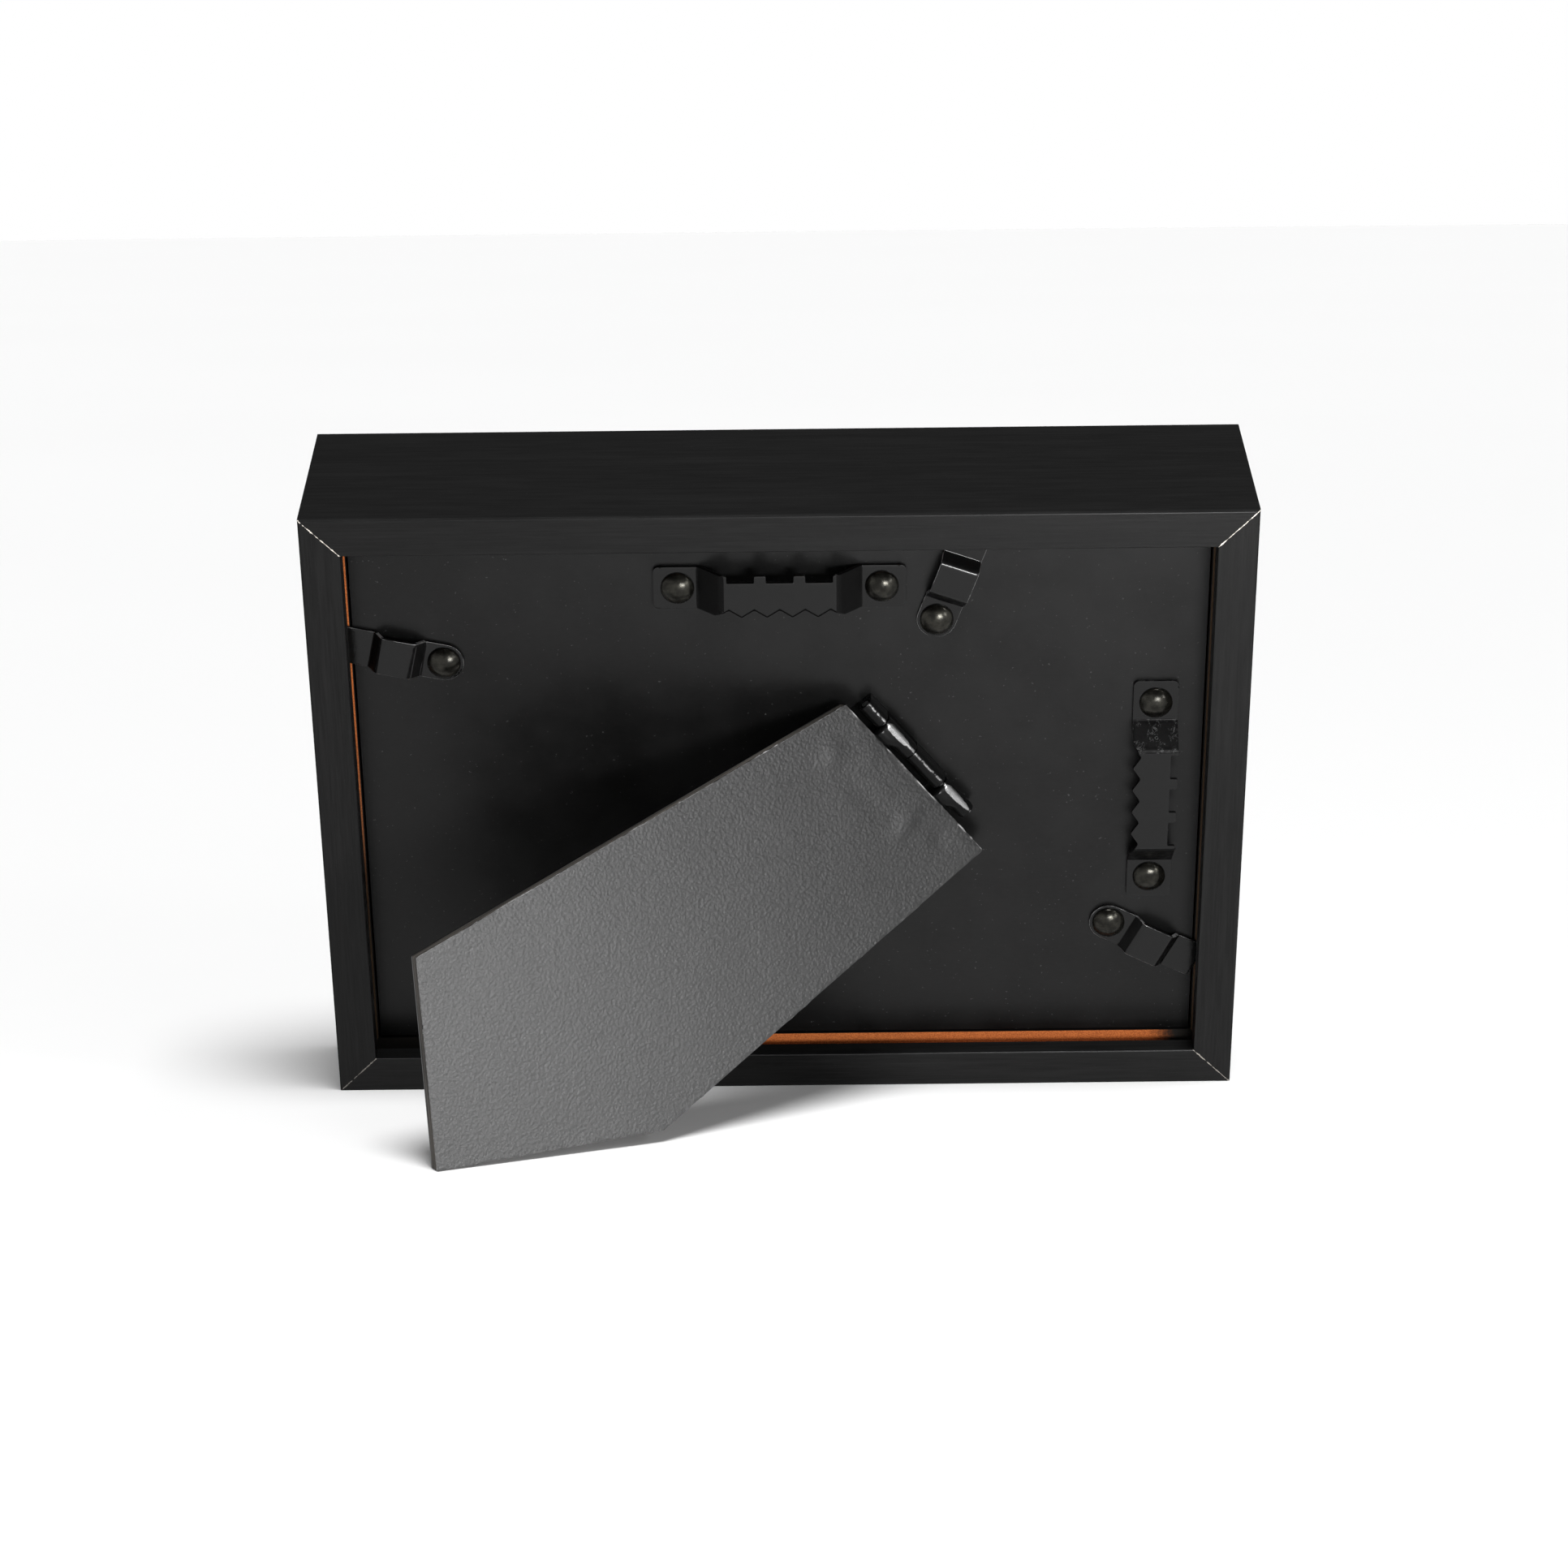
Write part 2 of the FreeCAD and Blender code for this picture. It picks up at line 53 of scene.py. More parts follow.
HANGER_L = 45.8
HANGER_W = 8.3
HANGER_T = 0.8
HANGER_PAD = 8.2
HANGER_RUN = 4.3
HANGER_LIFT = 4.2
HANGER_RIVETS = 37.0
TEETH = 5
TOOTH_PITCH = 4.6
TOOTH_DEPTH = 1.5
NOTCH_W = 5.0
NOTCH_GAP = 2.1
NOTCH_DEPTH = 1.4
HANGERS = {"hanger_landscape": (0.0, 43.0, 0.0), "hanger_portrait": (69.0, 0.0, -90.0)}

BUTTON_T = 0.7
BUTTON_W = 7.2
BUTTON_TIP = 19.2
BUTTON_LIFT = 2.2
BUTTON_FOLDS = (4.0, 5.9, 11.8, 13.2)
BUTTONS = {
    "turn_button_left": (-61.5, 28.3, 167.6),
    "turn_button_top": (28.5, 36.1, 70.0),
    "turn_button_right": (61.7, -28.6, -27.5),
    "turn_button_bottom": (-28.5, -36.1, 250.0),
}
PLAY = 0.05
HANGER_FLAT_COSINE = 0.985  # faces tilted more than this get a darker, duller copy of the paint as painted shade
BUTTON_FLAT_COSINE = 0.70
BUTTON_END = 9.0  # how far the height rule runs past each end of a button

SHANK_R = 1.5
DOME_R = 3.05
DOME_H = 1.6
DOME_RIM = 0.25
DOME_STEPS = 10
RIM_EASE = 0.1
TAIL_R = 2.5
TAIL_T = 0.6

HINGE_L = 29.6
HINGE_LIFT = 2.5
KNUCKLE_R = 1.45
TAB_R = 1.75
PIN_R = 0.7
BOARD_KNUCKLES = ((0.0, 0.165), (0.455, 0.73))
LEG_KNUCKLES = ((0.175, 0.445), (0.74, 1.0))
LEAF_RIVET_R = 1.2
LEAF_T = 0.5
LEAF_IN = 11.0
NECK_W = 2.4

LEG_OPEN = 34.0
LEG_RISE = 0.3
LEG_PAPER = 0.35
LEG_EDGE = 2.9
LEG_CORNER_R = 0.3
LEG_OUTLINE = ((17.6, 2.9), (-22.5, 2.9), (-9.4, 82.7), (19.1, 116.0), (48.3, 91.3))

# ---- where things are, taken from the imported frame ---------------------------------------
joints = {joint["child"]: joint for joint in frame["joints"]}


def columns(x_axis, y_axis, z_axis, origin):
    """Matrix that takes millimetres in these directions to metres in the row frame."""
    turn = Matrix((x_axis, y_axis, z_axis)).transposed()
    return Matrix.Translation(origin) @ (turn * MM).to_4x4()


def flat_frame():
    """u to the right and v up along the frame as seen from behind, w out of its rear face."""
    w_axis = Vector(joints["turn_button_left"]["axis"])
    u_axis = Vector((-1.0, 0.0, 0.0))
    v_axis = w_axis.cross(u_axis)
    u, v, _ = BUTTONS["turn_button_left"]
    w = BUTTON_T / 2 - BOARD_DEPTH
    pivot = Vector(joints["turn_button_left"]["pos_m"])
    origin = pivot - (u_axis * u + v_axis * v + w_axis * w) * MM
    return columns(u_axis, v_axis, w_axis, origin)


FLAT = flat_frame()


def hinge_frame(opening):
    """x along the hinge axis, y away from it down one leaf, z out of that leaf."""
    x_axis = Vector(joints["easel_leg"]["axis"]).normalized()
    w_axis = FLAT.to_3x3().col[2].normalized()
    swing = Matrix.Rotation(math.radians(opening), 3, x_axis)
    y_axis = swing @ w_axis.cross(x_axis)
    return columns(x_axis, y_axis, x_axis.cross(y_axis), Vector(joints["easel_leg"]["pos_m"]))


LEG = hinge_frame(LEG_OPEN)
BOARD_LEAF = hinge_frame(0.0)


def on_board(u, v, degrees):
    """Frame of a piece lying on the backboard, turned about w."""
    turn = Matrix.Rotation(math.radians(degrees), 4, "Z")
    return FLAT @ Matrix.Translation((u, v, -BOARD_DEPTH)) @ turn


# ---- mesh helpers ------------------------------------------------------------------------
HOLE_SIDES = 32
RIM_CLEARANCE = 0.45  # of a grid step, between the rim and the nearest inner point
CHORD = 0.995  # a hole's straight sides lie this far out, as a share of its radius
FOLD_SAMPLES = 9


def new_piece(name, points, faces, place, body):
    """A smooth mesh, given in millimetres and set in the row frame, that rides on a body."""
    mesh = bpy.data.meshes.new(name)
    mesh.from_pydata([place @ Vector(p) for p in points], [], faces)
    mesh.validate()
    mesh.polygons.foreach_set("use_smooth", [True] * len(mesh.polygons))
    piece = bpy.data.objects.new(name, mesh)
    bpy.context.scene.collection.objects.link(piece)
    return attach(piece, body)


def crisp(piece, width, segments=2, angle=40.0):
    """Small rounded edges, with flat faces that stay flat."""
    bevel = piece.modifiers.new("edge", "BEVEL")
    bevel.width = width * MM
    bevel.segments = segments
    bevel.limit_method = "ANGLE"
    bevel.angle_limit = math.radians(angle)
    weighted = piece.modifiers.new("normals", "WEIGHTED_NORMAL")
    weighted.keep_sharp = False
    weighted.weight = 80
    return piece


def rounded(corners, radii, step):
    """Closed outline with rounded corners, and with points at most one step apart."""
    path = []
    count = len(corners)
    for i in range(count):
        corner = Vector(corners[i])
        back = (Vector(corners[i - 1]) - corner).normalized()
        ahead = (Vector(corners[(i + 1) % count]) - corner).normalized()
        if radii[i] <= 0:
            path.append(corner)
            continue
        half = back.angle(ahead) / 2
        centre = corner + (back + ahead).normalized() * (radii[i] / math.sin(half))
        start = corner + back * (radii[i] / math.tan(half)) - centre
        end = corner + ahead * (radii[i] / math.tan(half)) - centre
        sweep = start.angle_signed(end)
        pieces = max(2, math.ceil(abs(sweep) * radii[i] / step))
        for k in range(pieces + 1):
            turn = Matrix.Rotation(-sweep * k / pieces, 2)
            path.append(centre + turn @ start)
    dense = []
    for a, b in zip(path, path[1:] + path[:1]):
        runs = max(1, math.ceil((b - a).length / step))
        dense += [a.lerp(b, k / runs) for k in range(runs) if (b - a).length > 1e-6]
    return dense


def inside(point, outline):
    """Even-odd test of a point against a closed outline."""
    hit = False
    for a, b in zip(outline, outline[1:] + outline[:1]):
        if (a.y > point.y) != (b.y > point.y):
            cut = a.x + (point.y - a.y) / (b.y - a.y) * (b.x - a.x)
            hit ^= point.x < cut
    return hit


def filled(outline, holes, step_x, step_y):
    """Points and triangles that fill an outline on a regular grid, leaving round holes open."""
    points = list(outline)
    edges = [(i, (i + 1) % len(outline)) for i in range(len(outline))]
    for x, y, radius in holes:
        first = len(points)
        for k in range(HOLE_SIDES):
            angle = math.tau * k / HOLE_SIDES
            points.append(Vector((x + radius * math.cos(angle), y + radius * math.sin(angle))))
            edges.append((first + k, first + (k + 1) % HOLE_SIDES))
    low_x, high_x = min(p.x for p in outline), max(p.x for p in outline)
    low_y, high_y = min(p.y for p in outline), max(p.y for p in outline)
    margin = min(step_x, step_y) * RIM_CLEARANCE
    rim = tree_of(points)
    for i in range(1, math.ceil((high_x - low_x) / step_x)):
        for j in range(1, math.ceil((high_y - low_y) / step_y)):
            point = Vector((low_x + i * step_x, low_y + j * step_y))
            clear = rim.find((point.x, point.y, 0.0))[2] > margin
            open_hole = any((point - Vector((x, y))).length < r for x, y, r in holes)
            if clear and not open_hole and inside(point, outline):
                points.append(point)
    spots, _, triangles, _, _, _ = geometry.delaunay_2d_cdt(points, edges, [], 0, 1e-5)
    kept = []
    for triangle in triangles:
        middle = sum((spots[i] for i in triangle), Vector((0.0, 0.0))) / 3
        open_hole = any((middle - Vector((x, y))).length < r * CHORD for x, y, r in holes)
        if inside(middle, outline) and not open_hole:
            kept.append(tuple(triangle))
    return spots, kept


def tree_of(points):
    """Search tree of flat points, for the nearest of them to a spot."""
    tree = kdtree.KDTree(len(points))
    for i, point in enumerate(points):
        tree.insert((point.x, point.y, 0.0), i)
    tree.balance()
    return tree


def folded(x, knots, soft):
    """Height of a folded strip: straight runs between knots, with softened folds."""
    total = 0.0
    for k in range(FOLD_SAMPLES):
        spot = x + soft * (2 * k / (FOLD_SAMPLES - 1) - 1)
        for (x0, z0), (x1, z1) in zip(knots, knots[1:]):
            if x0 <= spot <= x1:
                total += z0 + (z1 - z0) * (spot - x0) / (x1 - x0)
                break
    return total / FOLD_SAMPLES


def pressed_sheet(name, outline, holes, rise, thickness, place, body, steps, edge):
    """Sheet metal or paper: a filled outline, raised by a height rule and made solid."""
    spots, triangles = filled(outline, holes, *steps)
    points = [(p.x, p.y, rise(p.x, p.y)) for p in spots]
    piece = new_piece(name, points, triangles, place, body)
    solid = piece.modifiers.new("thickness", "SOLIDIFY")
    solid.thickness = thickness * MM
    solid.offset = 0.0
    return crisp(piece, edge)


def lathe(name, profiles, place_list, body, sides=48):
    """Round pieces turned about z, one at each place, joined in one mesh."""
    points, faces = [], []
    for place in place_list:
        first = len(points)
        for radius, height in profiles:
            for k in range(sides):
                angle = math.tau * k / sides
                spot = Vector((radius * math.cos(angle), radius * math.sin(angle), height))
                points.append(place @ spot)
        for ring in range(len(profiles) - 1):
            for k in range(sides):
                a = first + ring * sides + k
                b = first + ring * sides + (k + 1) % sides
                faces.append((a, a + sides, b + sides, b))
    return new_piece(name, points, faces, Matrix.Identity(4), body)


# ---- materials ---------------------------------------------------------------------------
class Look:
    """A procedural material while its nodes are being wired."""

    def __init__(self, name, **surface):
        self.material = bpy.data.materials.new(name)
        self.material.use_nodes = True
        self.tree = self.material.node_tree
        self.shader = self.tree.nodes["Principled BSDF"]
        for socket, value in surface.items():
            self.shader.inputs[socket.replace("_", " ")].default_value = value

    def add(self, kind, settings=None, **inputs):
        """A wired node; i0, i1 and so on stand for sockets by number."""
        node = self.tree.nodes.new("ShaderNode" + kind)
        for key, value in (settings or {}).items():
            setattr(node, key, value)
        for key, value in inputs.items():
            socket = int(key[1:]) if key[1:].isdigit() else key
            self.feed(node.inputs[socket], value)
        return node

    def feed(self, socket, value):
        if isinstance(value, bpy.types.NodeSocket):
            self.tree.links.new(value, socket)
        else:
            socket.default_value = value

    def set(self, socket, value):
        self.feed(self.shader.inputs[socket], value)

    def space(self, place):
        """Coordinates in millimetres in a place's own directions."""
        where = self.add("TexCoord").outputs["Object"]
        turn = place.to_3x3().normalized().to_euler()
        mapping = self.add("Mapping", {"vector_type": "TEXTURE"}, Vector=where)
        mapping.inputs["Location"].default_value = place.translation
        mapping.inputs["Rotation"].default_value = turn
        mapping.inputs["Scale"].default_value = (MM, MM, MM)
        return mapping.outputs["Vector"]

    def stretch(self, vector, scale):
        return self.add("Mapping", Vector=vector, Scale=scale).outputs["Vector"]

    def noise(self, vector, scale, detail=4.0, rough=0.55, distortion=0.0):
        node = self.add("TexNoise", Vector=vector, Scale=scale, Detail=detail, Roughness=rough)
        node.inputs["Distortion"].default_value = distortion
        return node.outputs["Fac"]

    def span(self, value, low, high, to_low=0.0, to_high=1.0):
        node = self.add("MapRange", {"interpolation_type": "SMOOTHSTEP"}, Value=value)
        for key, number in zip(
            ("From Min", "From Max", "To Min", "To Max"), (low, high, to_low, to_high)
        ):
            node.inputs[key].default_value = number
        return node.outputs["Result"]

    def math(self, operation, a, b=0.0):
        return self.add("Math", {"operation": operation}, i0=a, i1=b).outputs[0]

    def plus(self, a, b):
        return self.math("ADD", a, b)

    def minus(self, a, b):
        return self.math("SUBTRACT", a, b)

    def times(self, a, b):
        return self.math("MULTIPLY", a, b)

    def larger(self, a, b):
        return self.math("MAXIMUM", a, b)

    def magnitude(self, a):
        return self.math("ABSOLUTE", a)

    def axes(self, vector):
        return self.add("SeparateXYZ", Vector=vector).outputs

    def mix(self, factor, a, b):
        node = self.add("Mix", {"data_type": "RGBA"})
        self.feed(node.inputs[0], factor)
        self.feed(node.inputs[6], a)
        self.feed(node.inputs[7], b)
        return node.outputs[2]

    def bump(self, height, strength, distance, normal=None):
        node = self.add("Bump", Height=height, Strength=strength, Distance=distance * MM)
        if normal is not None:
            self.feed(node.inputs["Normal"], normal)
        return node.outputs["Normal"]


def grey(value, warm=0.0):
    return (value * (1 + warm), value, value * (1 - warm), 1.0)


GRAIN_SQUEEZE = 0.035
LEG_PAINTED_LIGHT = (15.0, 110.0)  # millimetres down the leg over which painted light turns the paper paler
HIGHLIGHT_LIMIT = 0.996  # cosine from the ridge within which bright steel is painted as a highlight
HIGHLIGHT_SWELLING = 0.078  # and how much lower that is on a swelling
# where the painted shade on the raw groove falls, and its colours
SHADE_DRIFT = 12.0
SHADED_RIGHT = (69.5, 75.5)
SHADED_LEFT = (-55.0, -65.0)
SHADED_BELOW = (25.0, -30.0)
GROOVE_SHADE_ALONG_U = grey(0.006, 0.2)
GROOVE_SHADE_ALONG_V = (0.055, 0.033, 0.018, 1)
RAW_DARK = (0.22, 0.055, 0.013, 1)
RAW_LIGHT = (0.46, 0.135, 0.034, 1)
MITRE_PALE = (0.60, 0.56, 0.50, 1)
RIVET_DARK = (0.010, 0.0096, 0.008, 1)
RIVET_LIGHT = (0.027, 0.026, 0.0215, 1)
RIVET_MARK = (0.016, 0.015, 0.012, 1)


def raw_groove(look, flat, inward, ragged):
    """Mask of the groove's uncoated floor and walls, with a ragged upper edge."""
    depth = look.plus(look.times(look.axes(flat)["Z"], -1.0), ragged)
    raw = look.times(look.span(depth, GROOVE_TOP - 0.05, GROOVE_TOP + 0.03),
                     look.span(depth, BOARD_DEPTH + 0.3, BOARD_DEPTH + 0.2))
    raw = look.times(raw, look.span(inward, 1.4, 1.6))
    return look.times(raw, look.span(inward, RAIL_T - 0.12, RAIL_T - 0.22))


def shaded_groove(look, flat, ragged):
    """Mask of painted shade on the raw groove, at the right end and low on the left."""
    # the right rail and the leg shade these stretches; on the right rail the dark also stands for
    # black overspray
    parts = look.axes(flat)
    drift = look.times(ragged, SHADE_DRIFT)
    right = look.span(look.plus(parts["X"], drift), *SHADED_RIGHT)
    low_left = look.times(look.span(parts["X"], *SHADED_LEFT),
                          look.span(look.plus(parts["Y"], drift), *SHADED_BELOW))
    return look.larger(right, low_left)


def open_mitre(look, flat, from_side, from_end, inward):
    """Mask of the broken pale line along each mitre on the rear face, fainter low down."""
    parts = look.axes(flat)
    off_mitre = look.magnitude(look.minus(from_side, from_end))
    ajar = look.times(look.minus(look.noise(flat, 1.1, 4.0, 0.75), 0.40), 0.95)
    gap = look.times(look.span(look.minus(off_mitre, ajar), 0.03, -0.03),
                     look.span(parts["Y"], -75.0, 45.0, 0.3, 1.0))
    gap = look.times(gap, look.span(parts["Z"], -0.35, -0.15))
    return look.times(gap, look.span(inward, RAIL_T + 0.1, RAIL_T - 0.1))


def rail_look(name, along):
    """Black foil over fibreboard: fine grain along the rail, raw groove, open mitre line."""
    look = Look(name, Specular_IOR_Level=0.18)
    flat = look.space(FLAT)
    lengthwise = (GRAIN_SQUEEZE, 1.0, 1.0) if along == "u" else (1.0, GRAIN_SQUEEZE, 1.0)
    grain = look.noise(look.stretch(flat, lengthwise), 2.6, 6.0, 0.62)
    streak = look.noise(look.stretch(flat, tuple(0.35 * s for s in lengthwise)), 2.0, 3.0)
    speck = look.span(look.noise(flat, 3.4, 2.0), 0.73, 0.78)
    black = look.mix(look.span(grain, 0.35, 0.7), grey(0.0012), grey(0.0045))
    black = look.mix(look.times(look.span(streak, 0.45, 0.75), 0.4), black, grey(0.008))
    black = look.mix(look.times(speck, 0.3), black, grey(0.07))
    parts = look.axes(flat)
    from_side = look.minus(FRAME_W / 2, look.magnitude(parts["X"]))
    from_end = look.minus(FRAME_H / 2, look.magnitude(parts["Y"]))
    inward = look.math("MINIMUM", from_side, from_end)
    ragged = look.times(look.minus(look.noise(flat, 1.6, 3.0), 0.5), 0.25)
    raw = raw_groove(look, flat, inward, ragged)
    fibres = look.noise(look.stretch(flat, (1.0, 1.0, 2.0)), 4.5, 5.0, 0.7)
    board = look.mix(look.span(fibres, 0.35, 0.68), RAW_DARK, RAW_LIGHT)
    # painted shade colour for the raw groove
    groove_shade = GROOVE_SHADE_ALONG_U if along == "u" else GROOVE_SHADE_ALONG_V
    colour = look.mix(raw, black, look.mix(shaded_groove(look, flat, ragged), board, groove_shade))
    gap = open_mitre(look, flat, from_side, from_end, inward)
    look.set("Base Color", look.mix(gap, colour, MITRE_PALE))
    worn = look.larger(raw, look.span(inward, 0.5, 0.25))
    look.set("Roughness", look.larger(look.span(grain, 0.3, 0.7, 0.38, 0.33),
                                      look.times(worn, 0.85)))
    look.set("Normal", look.bump(grain, 0.22, 0.10))
    return look.material


def facing_look(name, level):
    """Smooth black paper with a faint mottle and a little dust."""
    look = Look(name, Specular_IOR_Level=0.22)
    flat = look.space(FLAT)
    mottle = look.noise(flat, 0.06, 5.0, 0.6)
    fibre = look.noise(look.stretch(flat, (0.5, 1.4, 1.0)), 1.3, 6.0, 0.7)
    dust = look.span(look.noise(flat, 1.9, 1.0), 0.74, 0.79)
    colour = look.mix(look.span(mottle, 0.35, 0.65), grey(level * 0.75), grey(level * 1.25))
    colour = look.mix(look.times(look.span(fibre, 0.4, 0.7), 0.35), colour, grey(level * 2))
    colour = look.mix(look.times(dust, 0.25), colour, grey(0.12))
    look.set("Base Color", colour)
    look.set("Roughness", look.span(mottle, 0.3, 0.7, 0.28, 0.36))
    look.set("Normal", look.bump(fibre, 0.12, 0.08))
    return look.material


def plain_wood_look(name, dark, light):
    """Fibreboard: short crossed fibres with no direction."""
    look = Look(name, Specular_IOR_Level=0.25)
    flat = look.space(FLAT)
    fibre = look.noise(flat, 2.2, 8.0, 0.7)
    look.set("Base Color", look.mix(look.span(fibre, 0.3, 0.7), dark, light))
    look.set("Roughness", look.span(fibre, 0.3, 0.7, 0.75, 0.9))
    look.set("Normal", look.bump(fibre, 0.3, 0.1))
    return look.material


def leg_board_look():
    """Dark layered board, seen on the leg's cut edges."""
    look = Look("leg_board", Specular_IOR_Level=0.25)
    leg = look.space(LEG)
    layers = look.noise(look.stretch(leg, (0.05, 0.05, 3.2)), 1.0, 2.0)
    fray = look.noise(leg, 3.0, 6.0, 0.75)
    colour = look.mix(look.span(layers, 0.42, 0.62), grey(0.012, 0.08), grey(0.07, 0.12))
    colour = look.mix(look.times(look.span(fray, 0.5, 0.75), 0.5), colour, grey(0.11, 0.1))
    look.set("Base Color", colour)
    look.set("Roughness", look.span(fray, 0.3, 0.7, 0.7, 0.9))
    look.set("Normal", look.bump(fray, 0.4, 0.12))
    return look.material


def leatherette_look():
    """Embossed black paper with a pebbled grain, paler towards the foot as painted light, and worn
    pale in places along its top edge."""
    look = Look("leatherette", Specular_IOR_Level=0.30)
    leg = look.space(LEG)
    warp = look.noise(leg, 0.45, 3.0, 0.6)
    cells = look.add("TexVoronoi", {"feature": "SMOOTH_F1"}, Vector=leg, Scale=1.5)
    cells.inputs["Smoothness"].default_value = 0.6
    pebble = look.plus(look.times(cells.outputs["Distance"], 0.7),
                       look.times(look.noise(leg, 2.6, 5.0, 0.65, 0.4), 0.9))
    wide = look.noise(leg, 0.035, 3.0)
    colour = look.mix(look.span(pebble, 0.5, 1.0), grey(0.015), grey(0.008))
    colour = look.mix(look.times(look.span(wide, 0.4, 0.7), 0.3), colour, grey(0.018))
    down = look.axes(leg)["Y"]
    # painted light: paler towards the foot
    colour = look.mix(look.span(down, *LEG_PAINTED_LIGHT), colour, grey(0.038))
    nicked = look.times(look.span(down, LEG_EDGE + 0.24, LEG_EDGE + 0.10),
                        look.span(look.noise(leg, 0.22, 3.0, 0.6), 0.48, 0.64))
    look.set("Base Color", look.mix(nicked, colour, grey(0.22)))
    look.set("Roughness", look.span(pebble, 0.4, 1.0, 0.28, 0.35))
    fine = look.bump(pebble, 0.70, 0.155)
    look.set("Normal", look.bump(warp, 0.16, 0.25, fine))
    return look.material


def cut_edge_and_highlight_look():
    """The nicked grey cut edge of the leg's outer paper, partly its own edge and partly a painted
    highlight.
    """
    look = Look("leatherette_edge", Specular_IOR_Level=0.3)
    leg = look.space(LEG)
    nick = look.noise(leg, 1.2, 4.0, 0.7)
    look.set("Base Color", look.mix(look.span(nick, 0.4, 0.65), grey(0.09), grey(0.30)))
    look.set("Roughness", look.span(nick, 0.3, 0.7, 0.55, 0.75))
    return look.material


def painted_speckle_patch(look, flat):
    """Mask of a painted highlight: pale fine veins on the portrait hanger's upper slope and pad.
    """
    u, v, _ = HANGERS["hanger_portrait"]
    near_side = u - HANGER_W / 2
    bar_end = v + HANGER_L / 2 - HANGER_PAD - HANGER_RUN
    parts = look.axes(flat)
    vein = look.magnitude(look.minus(look.noise(flat, 0.75, 3.0, 0.6, 1.5), 0.5))
    patch = look.times(look.span(parts["X"], near_side - 0.85, near_side - 0.35),
                       look.span(parts["Y"], bar_end - 2.4, bar_end - 1.4))
    patch = look.times(patch, look.span(look.noise(flat, 0.5, 2.0), 0.46, 0.58))
    return look.times(look.span(vein, 0.018, 0.006), patch)


def painted_teeth_shadow(look, flat):
    """Mask of a painted shadow: the dark line along the teeth of the landscape hanger."""
    u, v, _ = HANGERS["hanger_landscape"]
    parts = look.axes(flat)
    from_valley = look.math("PINGPONG", look.minus(parts["X"], u), TOOTH_PITCH / 2)
    above_tip = look.minus(parts["Y"], v - HANGER_W / 2)
    slope = TOOTH_DEPTH / (TOOTH_PITCH / 2)
    above_tooth = look.plus(above_tip, look.times(from_valley, slope))
    last_tooth = TEETH * TOOTH_PITCH / 2
    return look.times(
        look.span(above_tooth, TOOTH_DEPTH + 0.36, TOOTH_DEPTH + 0.26),
        look.span(look.magnitude(parts["X"]), last_tooth + 0.5, last_tooth - 0.5),
    )


def enamel_look(name, level, rough, gloss, painted_speckle=False, teeth_shadow=False):
    """Black paint on pressed metal, slightly uneven, with a painted speckled highlight or a
    painted shadow line along the teeth if asked.
    """
    look = Look(name, Specular_IOR_Level=gloss)
    flat = look.space(FLAT)
    peel = look.noise(flat, 0.9, 3.0, 0.5)
    scuff = look.noise(look.stretch(flat, (1.0, 0.25, 1.0)), 3.0, 6.0, 0.7)
    colour = look.mix(look.span(scuff, 0.55, 0.8), grey(level), grey(level * 1.8))
    # painted speckled highlight on the portrait hanger
    if painted_speckle:
        colour = look.mix(painted_speckle_patch(look, flat), colour, grey(0.06))
    # painted shadow along the teeth: full metal over the black base colour makes the line dark
    if teeth_shadow:
        look.set("Metallic", painted_teeth_shadow(look, flat))
    look.set("Base Color", colour)
    look.set("Roughness", look.span(peel, 0.3, 0.7, rough, rough * 1.6))
    look.set("Normal", look.bump(peel, 0.12, 0.15))
    return look.material


def hinge_painted_highlight_look():
    """Black paint with a painted highlight of bright steel along the hinge's ridge,
    widest on its swellings.

    The ridge is where the surface, seen from the hinge's axis, faces out of the leg."""
    look = Look("hinge_painted_highlight", Specular_IOR_Level=0.10)
    leg = look.space(LEG)
    peel = look.noise(leg, 1.3, 4.0, 0.6)
    parts = look.axes(leg)
    reach = look.math("SQRT", look.plus(look.times(parts["Y"], parts["Y"]),
                                        look.times(parts["Z"], parts["Z"])))
    facing = look.math("DIVIDE", parts["Z"], reach)
    width = 0.0
    for span in LEG_KNUCKLES:
        outer = HINGE_L * (0.5 - span[0])
        swelling = look.times(look.span(parts["X"], outer - 7.5, outer - 3.5),
                              look.span(parts["X"], outer - 0.3, outer - 1.2))
        width = look.larger(width, swelling)
    limit = look.minus(HIGHLIGHT_LIMIT, look.times(width, HIGHLIGHT_SWELLING))
    limit = look.plus(limit, look.times(look.minus(peel, 0.5), 0.10))
    # painted highlight: bright steel where the ridge faces out of the leg
    bright_steel_highlight = look.span(look.minus(facing, limit), -0.008, 0.014)
    look.set("Base Color", look.mix(bright_steel_highlight, grey(0.0025), grey(0.24)))
    look.set("Metallic", bright_steel_highlight)
    look.set("Roughness", look.span(peel, 0.3, 0.7, 0.16, 0.26))
    look.set("Normal", look.bump(peel, 0.12, 0.15))
    return look.material


def rivet_look():
    """Dark plated rivet heads with a faint olive tint and a rolled finish."""
    look = Look("rivet_metal", Metallic=0.85, Specular_IOR_Level=0.5)
    flat = look.space(FLAT)
    stain = look.noise(flat, 0.7, 4.0, 0.6)
    mark = look.noise(flat, 2.6, 5.0, 0.7)
    colour = look.mix(look.span(stain, 0.35, 0.65), RIVET_DARK, RIVET_LIGHT)
    rolled = look.times(look.span(mark, 0.5, 0.75), 0.5)
    look.set("Base Color", look.mix(rolled, colour, RIVET_MARK))
    look.set("Roughness", look.span(mark, 0.3, 0.7, 0.12, 0.28))
    look.set("Normal", look.bump(mark, 0.15, 0.12))
    return look.material


